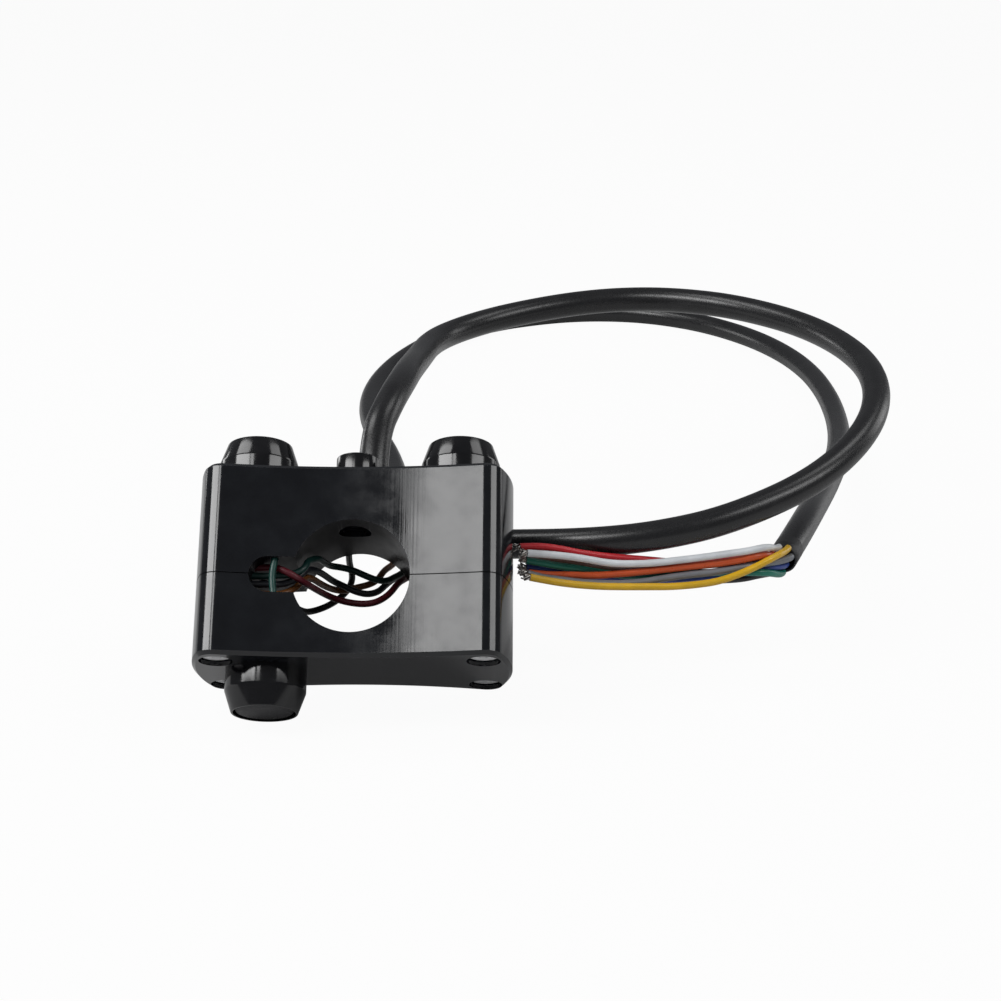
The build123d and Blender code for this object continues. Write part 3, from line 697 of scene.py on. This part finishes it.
class CLUSTER_OT_block(bpy.types.Operator):
    """Clamp halves with edge breaks in a lighter grey that paints their highlight, a painted shade
    in the bore and slot, and their screws
    """

    bl_idname = "cluster.block"
    bl_label = "Clamp Block"

    def execute(self, context):
        sizes = context.scene.cluster_block
        for half in ("upper_clamp_half", "lower_clamp_half"):
            shape = bmesh.new()
            shape.from_mesh(nodes[half].data)
            bmesh.ops.remove_doubles(shape, verts=shape.verts[:], dist=MERGE_DISTANCE)
            bmesh.ops.dissolve_limit(
                shape, angle_limit=FLAT_ANGLE, verts=shape.verts[:], edges=shape.edges[:],
            )
            piece = finish_piece(half + "_finish", shape, material("dyed block"), "housing", half)
            # second finish: lighter grey on the edge breaks, a painted highlight
            piece.data.materials.append(material("block edge"))
            # third finish: darker and less shiny, a painted shade in the bore and slot
            piece.data.materials.append(material("bore wall"))
            # faces in the bore and slot take the painted shade
            upright = LEAN.inverted()
            for face in piece.data.polygons:
                across, height, _ = upright @ face.center
                in_bore = math.hypot(across, height) < BORE_REACH
                in_slot = -SLOT_REACH < across < 0 and abs(height) < SLOT_HALF
                along = abs((upright.to_3x3() @ face.normal).z)
                if (in_bore or in_slot) and along < SIDEWAYS:
                    face.material_index = BORE_SHADE_FINISH
            edges = piece.modifiers.new("edge break", "BEVEL")
            edges.width = sizes.edge_break
            edges.segments = sizes.edge_steps
            edges.limit_method = "ANGLE"
            edges.angle_limit = EDGE_ANGLE
            # the bevel's faces take the painted edge highlight
            edges.material = EDGE_HIGHLIGHT_FINISH
            edges.use_clamp_overlap = True
            normals = piece.modifiers.new("flat faces", "WEIGHTED_NORMAL")
            normals.weight = FLAT_FACE_WEIGHT
        # the screws' near-white finish paints the bright reflection of their steel heads
        for corner in ("front_left", "front_right", "back_left", "back_right"):
            dress(f"clamp_screw_{corner}", "screw steel")
        return {"FINISHED"}


class CLUSTER_OT_large_buttons(bpy.types.Operator):
    """The three large buttons: turned bezels and plungers with rounded edges"""

    bl_idname = "cluster.large_buttons"
    bl_label = "Large Buttons"

    def execute(self, context):
        sizes = context.scene.cluster_buttons
        ring = sizes.ring_radius / MM
        for side, seat in LARGE_SEATS.items():
            place = seat_matrix(seat)
            bezel = turned(
                [
                    (5.5, 0.02), (ring, 0.02), (ring, 3.9), (6.3, 8.0), (5.9, 8.0), (5.9, 4.4),
                    (2.3, 4.4), (2.3, 3.2), (4.5, 3.2), (4.5, -6.0), (5.5, -6.0), (5.5, 0.02),
                ],
                {2: 0.18, 3: 0.16, 4: 0.12}, sizes.steps,
            )
            bezel.transform(place)
            piece = finish_piece(
                f"{side}_bezel_turned", bezel, material("turned black"), "housing",
                f"{side}_button_bezel", slot="black_anodised_button",
            )
            sharpen(piece, BEZEL_SHARP)
            cap = turned(
                [
                    (0, 8.4), (2.0, 8.33), (3.8, 8.1), (5.1, 7.8), (5.6, 7.45), (5.6, 6.2),
                    (2.0, 6.2), (2.0, -0.2), (0, -0.2),
                ],
                {4: 0.2, 6: 0.2}, sizes.steps,
            )
            cap.transform(place)
            piece = finish_piece(
                f"{side}_plunger_turned", cap, material("matte plunger"), f"{side}_button",
                f"{side}_button_cap", slot="matte_plunger",
            )
            sharpen(piece, CAP_SHARP)
        return {"FINISHED"}


class CLUSTER_OT_centre_button(bpy.types.Operator):
    """The small centre button and the star washer that holds its stem"""

    bl_idname = "cluster.centre_button"
    bl_label = "Centre Button"

    def execute(self, context):
        steps = context.scene.cluster_buttons.steps
        cap = turned(
            [(0, 3.9), (4.05, 3.9), (4.05, -2.6), (1.9, -2.6), (1.9, -9.7), (0, -9.7)],
            {1: 0.25, 2: 0.15, 4: 0.3}, steps,
        )
        cap.transform(seat_matrix(SMALL_SEAT))
        piece = finish_piece(
            "centre_plunger_turned", cap, material("turned black"), "centre_button",
            "centre_button_cap", slot="black_anodised_button",
        )
        sharpen(piece, CAP_SHARP)
        dress("centre_button_star_washer", "washer steel")
        dress("centre_button_spring", "spring steel")
        dress("centre_button_contact_plate", "contact brass")
        return {"FINISHED"}


class CLUSTER_OT_inner_pieces(bpy.types.Operator):
    """Finishes of the pieces inside the buttons"""

    bl_idname = "cluster.inner_pieces"
    bl_label = "Inner Pieces"

    def execute(self, context):
        for side in LARGE_SEATS:
            dress(f"{side}_button_spring", "spring steel")
            dress(f"{side}_button_seal", "seal rubber")
            dress(f"{side}_button_switch", "switch case")
            dress(f"{side}_button_contact", "contact brass")
            dress(f"{side}_button_terminals", "contact brass")
        return {"FINISHED"}


class CLUSTER_OT_cable(bpy.types.Operator):
    """The long round cable, its grommet and its cut end"""

    bl_idname = "cluster.cable"
    bl_label = "Cable"

    def execute(self, context):
        radius = context.scene.cluster_cable.sheath_radius
        dress("cable_grommet", "grommet rubber")
        route = over_table(SHEATH_ROUTE)
        end = Vector(route[-1])
        route[-1] = tuple(end + (Vector(route[-2]) - end).normalized() * HOLLOW_END)
        cable = wire_curve("cable_run", route, radius, "housing", material("cable sheath"))
        cable.data.bevel_resolution = SHEATH_FACETS
        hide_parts("cable_sheath")
        shape = turned(
            [
                (2.5, 0.12), (2.62, 0), (2.86, 0), (3.02, 0.16), (3.02, 6.0), (2.5, 6.0),
                (2.5, 0.12),
            ],
            {}, SLEEVE_STEPS,
        )
        back = (Vector(route[-2]) - Vector(route[-1])).normalized()
        turn = back.to_track_quat("Z", "Y").to_matrix().to_4x4()
        shape.transform(Matrix.Translation(end) @ turn)
        sleeve = finish_piece(
            "cut_sleeve", shape, material("cut sheath"), "housing", slot="sheath_rubber",
        )
        return {"FINISHED"}


class CLUSTER_OT_jumpers(bpy.types.Operator):
    """The wires that cross the bore, and the one in the slot"""

    bl_idname = "cluster.jumpers"
    bl_label = "Bore Wires"

    def execute(self, context):
        radius = context.scene.cluster_cable.jumper_radius
        for colour, points in JUMPER_ROUTES.items():
            route = leaned(points)
            finish = material(f"{colour} jumper")
            wire = wire_curve(f"{colour}_jumper", route, radius, "housing", finish)
            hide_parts(f"jumper_wire_{colour}")
        finish = material("slot green jumper")
        wire = wire_curve("slot_wire", leaned(SLOT_ROUTE), radius, "housing", finish)
        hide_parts("slot_wire_green")
        return {"FINISHED"}


class CLUSTER_OT_leads(bpy.types.Operator):
    """The stripped wires at the cable's end, with their bare twisted tips"""

    bl_idname = "cluster.leads"
    bl_label = "Stripped Leads"

    def twist(self, tips, route, radius):
        """Adds the bare strands of one wire: a loose twist that frays at its end."""
        end, before = Vector(route[-1]), Vector(route[-2])
        onward = (end - before).normalized()
        side = onward.cross(Vector((0, 0, 1))).normalized()
        over = side.cross(onward)
        for strand in range(TIP_STRANDS):
            start = math.tau * strand / TIP_STRANDS + random.uniform(*STRAND_JITTER)
            reach = TIP_LENGTH * random.uniform(*STRAND_REACH)
            fray = random.uniform(*STRAND_FRAY)
            line = tips.splines.new("NURBS")
            line.points.add(TIP_POINTS - 1)
            for step, spot in enumerate(line.points):
                share = step / (TIP_POINTS - 1)
                angle = start + STRAND_TURN * share
                out = radius * (TWIST_SHARE + fray * share * share)
                spoke = (side * math.cos(angle) + over * math.sin(angle)) * out
                place = end + onward * (reach * share - TIP_INSET) + spoke
                spot.co = (*place, 1)
                spot.radius = STRAND_RADIUS
            line.order_u = 3
            line.use_endpoint_u = True

    def execute(self, context):
        radius = context.scene.cluster_cable.lead_radius
        tips = bpy.data.curves.new("twisted_tips", "CURVE")
        tips.dimensions = "3D"
        tips.bevel_depth = 1
        tips.bevel_resolution = STRAND_FACETS
        tips.use_fill_caps = True
        tips.materials.append(material("tinned copper"))
        for colour, points in LEAD_ROUTES.items():
            route = over_table(points)
            finish = material(f"{colour} lead")
            wire = wire_curve(f"{colour}_lead_wire", route, radius, "housing", finish)
            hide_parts(f"lead_{colour}")
            self.twist(tips, route, radius)
        piece = bpy.data.objects.new("twisted_tips", tips)
        context.scene.collection.objects.link(piece)
        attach(piece, "housing")
        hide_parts("tinned_tips")
        return {"FINISHED"}


# the floor's glow for camera and transmission rays, and the share of it that glossy rays get
GLOW_SHARE = 0.955
SHINE_SHARE = 0.06

FLOOR_HALF = 6
FLOOR_AWAY = 2
ROOM_COLOUR = (0.93, 0.95, 1.0, 1)
ROOM_STRENGTH = 0.15
WHITE = (1, 1, 1, 1)

# panel lights: name, place, the way of the width, width and height in metres, power in watts
KEY_PANEL = ("key panel", (-0.652, -0.30, 0.697), (-0.489, 0.378, -0.302), 0.69, 0.30)
OTHER_PANELS = (
    ("front panel", (-0.2516, -0.488, 0.833), (1, 0, 0), 0.145, 0.26, 0.88),
    ("right panel", (0.753, -0.206, 0.623), (0.383, 0.414, -0.331), 0.60, 0.25, 2.3),
    ("left back panel", (-0.529, 0.268, 0.804), (-0.36, 0.258, -0.328), 0.52, 0.25, 1.9),
    ("right back panel", (0.547, 0.343, 0.762), (0.235, 0.23, -0.253), 0.40, 0.25, 0.8),
    ("left rim panel", (-0.76, 0.68, 0.08), (1, 0, 0), 0.24, 0.30, 1.0),
    ("right rim panel", (0.83, 0.60, 0.16), (1, 0, 0), 0.30, 0.50, 0.9),
)

# the photograph's camera, its place in mm
IMAGE_SIZE = 1001
FOCAL_PIXELS = 2088
SENSOR_WIDTH = 36
CLIP_START = 0.01
CAMERA_PLACE = (35.21, -373.97, 139.37)
CAMERA_RIGHT = (0.99983, 0.01747, -0.00608)
CAMERA_UP = (0.0004, 0.30796, 0.9514)


class CLUSTER_OT_stage(bpy.types.Operator):
    """Pale floor, backdrop, panel lights and the camera"""

    bl_idname = "cluster.stage"
    bl_label = "Stage"

    def pale(self, name, colour):
        """A pale matte floor that also glows where it is seen, so that it shows white."""
        material, tree, shader = new_material(
            name, Base_Color=(*colour, 1), Roughness=0.9, Specular_IOR_Level=0.0,
        )
        glow = add_node(tree, "ShaderNodeEmission", Strength=1.0)
        glow.inputs["Color"].default_value = WHITE
        path = add_node(tree, "ShaderNodeLightPath")
        shine = add_node(tree, "ShaderNodeMath", operation="MULTIPLY")
        shine.inputs[1].default_value = SHINE_SHARE
        tree.links.new(path.outputs["Is Glossy Ray"], shine.inputs[0])
        seen = add_node(tree, "ShaderNodeMath", operation="MAXIMUM")
        tree.links.new(path.outputs["Is Camera Ray"], seen.inputs[0])
        tree.links.new(shine.outputs[0], seen.inputs[1])
        through = add_node(tree, "ShaderNodeMath", operation="MAXIMUM")
        tree.links.new(seen.outputs[0], through.inputs[0])
        tree.links.new(path.outputs["Is Transmission Ray"], through.inputs[1])
        share = add_node(tree, "ShaderNodeMath", operation="MULTIPLY")
        share.inputs[1].default_value = GLOW_SHARE
        tree.links.new(through.outputs[0], share.inputs[0])
        blend = add_node(tree, "ShaderNodeMixShader")
        tree.links.new(share.outputs[0], blend.inputs["Fac"])
        tree.links.new(shader.outputs[0], blend.inputs[1])
        tree.links.new(glow.outputs[0], blend.inputs[2])
        tree.links.new(blend.outputs[0], tree.nodes["Material Output"].inputs["Surface"])
        return material

    def floor(self, scene, colour):
        """The table that the cluster lies on, far wider than the picture."""
        shape = bmesh.new()
        bmesh.ops.create_grid(shape, x_segments=1, y_segments=1, size=FLOOR_HALF)
        bmesh.ops.translate(shape, verts=shape.verts[:], vec=(0, FLOOR_AWAY, TABLE))
        mesh = bpy.data.meshes.new("pale_floor")
        shape.to_mesh(mesh)
        shape.free()
        floor = bpy.data.objects.new("pale_floor", mesh)
        scene.collection.objects.link(floor)
        mesh.materials.append(self.pale("pale floor", colour))

    def room(self, scene):
        """A dim even light all round that the camera sees as white."""
        world = bpy.data.worlds.new("soft room")
        scene.world = world
        world.use_nodes = True
        tree = world.node_tree
        back = tree.nodes["Background"]
        back.inputs["Color"].default_value = ROOM_COLOUR
        back.inputs["Strength"].default_value = ROOM_STRENGTH
        white = add_node(tree, "ShaderNodeBackground", Color=WHITE, Strength=1.0)
        path = add_node(tree, "ShaderNodeLightPath")
        blend = add_node(tree, "ShaderNodeMixShader")
        tree.links.new(path.outputs["Is Camera Ray"], blend.inputs["Fac"])
        tree.links.new(back.outputs[0], blend.inputs[1])
        tree.links.new(white.outputs[0], blend.inputs[2])
        tree.links.new(blend.outputs[0], tree.nodes["World Output"].inputs["Surface"])

    def panel(self, scene, name, place, across, width, height, power):
        """A panel light that faces the origin, its width along across as near as can be."""
        lamp = bpy.data.lights.new(name, "AREA")
        lamp.shape = "RECTANGLE"
        lamp.size = width
        lamp.size_y = height
        lamp.energy = power
        panel = bpy.data.objects.new(name, lamp)
        scene.collection.objects.link(panel)
        away = Vector(place).normalized()
        broad = (Vector(across) - away * away.dot(Vector(across))).normalized()
        turn = Matrix((broad, away.cross(broad), away)).transposed()
        panel.matrix_world = Matrix.Translation(place) @ turn.to_4x4()

    def camera(self, scene):
        """The photograph's camera."""
        lens = bpy.data.cameras.new("photo camera")
        lens.sensor_width = SENSOR_WIDTH
        lens.lens = FOCAL_PIXELS / IMAGE_SIZE * SENSOR_WIDTH
        lens.clip_start = CLIP_START
        camera = bpy.data.objects.new("photo camera", lens)
        scene.collection.objects.link(camera)
        right = Vector(CAMERA_RIGHT)
        back_axis = right.cross(Vector(CAMERA_UP))
        up = back_axis.cross(right)
        turn = Matrix((right.normalized(), up.normalized(), back_axis.normalized())).transposed()
        place = Matrix.Translation(Vector(CAMERA_PLACE) * MM)
        camera.matrix_world = place @ turn.to_4x4()
        scene.camera = camera

    def execute(self, context):
        scene = context.scene
        sizes = scene.cluster_stage
        self.floor(scene, sizes.floor_colour)
        self.room(scene)
        self.panel(scene, *KEY_PANEL, sizes.key_power)
        for panel in OTHER_PANELS:
            self.panel(scene, *panel)
        self.camera(scene)
        scene.view_settings.view_transform = "Standard"
        return {"FINISHED"}


class CLUSTER_PT_panel(bpy.types.Panel):
    """Lists the cluster's piece makers"""

    bl_idname = "CLUSTER_PT_panel"
    bl_label = "Switch Cluster"
    bl_space_type = "VIEW_3D"
    bl_region_type = "UI"
    bl_category = "Switch Cluster"

    def draw(self, context):
        for maker in MAKERS:
            self.layout.operator(maker.bl_idname)


MAKERS = (
    CLUSTER_OT_block,
    CLUSTER_OT_large_buttons,
    CLUSTER_OT_centre_button,
    CLUSTER_OT_inner_pieces,
    CLUSTER_OT_cable,
    CLUSTER_OT_jumpers,
    CLUSTER_OT_leads,
    CLUSTER_OT_stage,
)
SIZES = {
    "cluster_block": ClusterBlockSizes,
    "cluster_buttons": ClusterButtonSizes,
    "cluster_cable": ClusterCableSizes,
    "cluster_stage": ClusterStageSizes,
}


def register():
    for group in SIZES.values():
        bpy.utils.register_class(group)
    for name, group in SIZES.items():
        setattr(bpy.types.Scene, name, PointerProperty(type=group))
    for maker in MAKERS + (CLUSTER_PT_panel,):
        bpy.utils.register_class(maker)


def unregister():
    for maker in reversed(MAKERS + (CLUSTER_PT_panel,)):
        bpy.utils.unregister_class(maker)
    for name in SIZES:
        delattr(bpy.types.Scene, name)
    for group in reversed(SIZES.values()):
        bpy.utils.unregister_class(group)


def main():
    """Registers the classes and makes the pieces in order."""
    random.seed(7)
    register()
    for maker in MAKERS:
        group, action = maker.bl_idname.split(".")
        getattr(getattr(bpy.ops, group), action)()
    bpy.context.view_layer.update()


if __name__ == "__main__":
    main()
